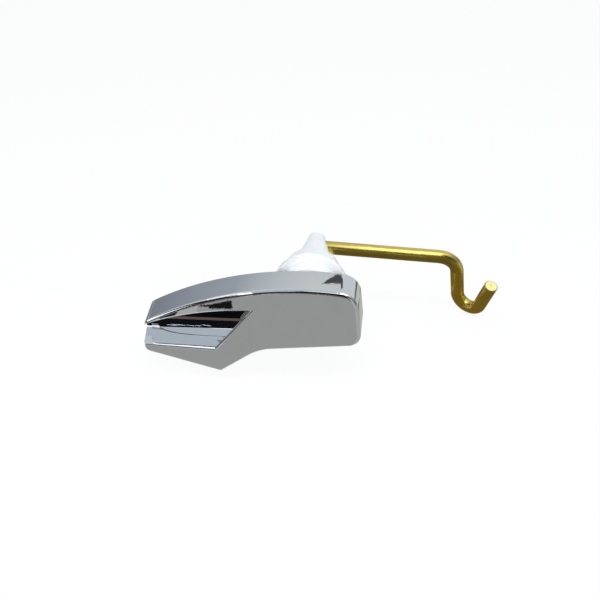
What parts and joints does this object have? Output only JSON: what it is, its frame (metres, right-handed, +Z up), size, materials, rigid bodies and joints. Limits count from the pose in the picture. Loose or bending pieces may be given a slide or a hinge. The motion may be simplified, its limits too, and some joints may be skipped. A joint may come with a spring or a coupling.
{
  "type": "cistern lever",
  "caption": "Front-mount flush lever: chromed handle with a finger pocket, threaded nylon bush with its locknut, and a bent brass lift arm with a hooked end.",
  "frame": {"origin": "on the pivot axis, at the face that meets the front of the cistern wall", "axes": "+X to the right along the lift arm, +Y into the cistern along the pivot, +Z up"},
  "size_m": [0.1185, 0.0503, 0.0387],
  "materials": {
    "chrome_plate": "bright chrome plate on a zinc casting",
    "white_nylon": "natural white moulded nylon, slightly translucent",
    "soft_washer": "pale soft sealing washer",
    "drawn_brass": "drawn brass rod, fine lengthwise draw marks",
    "screw_steel": "dark plated steel"
  },
  "bodies": {
    "mounting": {"bush": "white_nylon", "wall_washer": "soft_washer", "locknut": "white_nylon"},
    "lever": {"handle": "chrome_plate", "spindle": "white_nylon", "handle_screw": "screw_steel", "arm": "drawn_brass", "arm_screw": "screw_steel"}
  },
  "joints": [
    {"name": "lever_pivot", "type": "hinge", "parent": "mounting", "child": "lever", "pos_m": [0, 0, 0], "axis": [0, -1, 0], "range_deg": [0, 30]}
  ]
}
